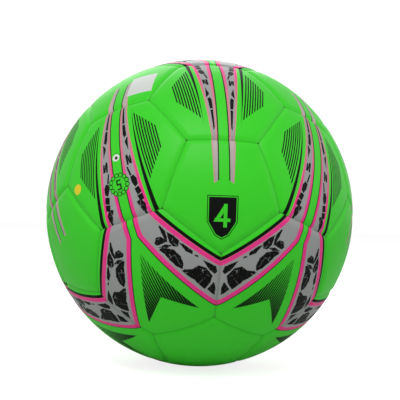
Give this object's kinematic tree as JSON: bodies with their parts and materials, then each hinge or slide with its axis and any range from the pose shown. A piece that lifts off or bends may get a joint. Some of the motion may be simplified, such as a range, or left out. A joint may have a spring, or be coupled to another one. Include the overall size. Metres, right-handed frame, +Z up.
{
  "type": "indoor soccer ball",
  "caption": "Round panelled ball with laminated cover over foam, carcass, wound layer and air bladder, with a push-in valve plug for an inflating needle.",
  "frame": {"origin": "centre of the ball", "axes": "+Z up as the ball stands, -Y the front; the poles of the panel pattern lean 33.9 degrees about X, the lower pole towards the front"},
  "size_m": [0.2, 0.2, 0.2],
  "materials": {
    "cover": "satin, fine grain, printed",
    "foam": "matt closed-cell foam",
    "carcass_rubber": "matt",
    "nylon_yarn": "wound yarn",
    "bladder_rubber": "satin",
    "filling_foam": "matt shredded foam",
    "valve_rubber": "satin"
  },
  "bodies": {
    "ball": {"pentagon_panel_01": "cover", "pentagon_panel_02": "cover", "pentagon_panel_03": "cover", "pentagon_panel_04": "cover", "pentagon_panel_05": "cover", "pentagon_panel_06": "cover", "pentagon_panel_07": "cover", "pentagon_panel_08": "cover", "pentagon_panel_09": "cover", "pentagon_panel_10": "cover", "pentagon_panel_11": "cover", "pentagon_panel_12": "cover", "hexagon_panel_01": "cover", "hexagon_panel_02": "cover", "hexagon_panel_03": "cover", "hexagon_panel_04": "cover", "hexagon_panel_05": "cover", "hexagon_panel_06": "cover", "hexagon_panel_07": "cover", "hexagon_panel_08": "cover", "hexagon_panel_09": "cover", "hexagon_panel_10": "cover", "hexagon_panel_11": "cover", "hexagon_panel_12": "cover", "hexagon_panel_13": "cover", "hexagon_panel_14": "cover", "hexagon_panel_15": "cover", "hexagon_panel_16": "cover", "hexagon_panel_17": "cover", "hexagon_panel_18": "cover", "hexagon_panel_19": "cover", "hexagon_panel_20": "cover", "pentagon_foam_pads": "foam", "hexagon_foam_pads": "foam", "rubber_carcass": "carcass_rubber", "nylon_winding": "nylon_yarn", "bladder": "bladder_rubber", "valve_housing": "bladder_rubber", "low_bounce_filling": "filling_foam"},
    "valve_plug": {"valve_plug": "valve_rubber"}
  },
  "joints": [
    {"name": "plug_slide", "type": "slide", "parent": "ball", "child": "valve_plug", "axis": [-0.5774, -0.7644, 0.2869], "range_m": [0, 0.018]}
  ]
}
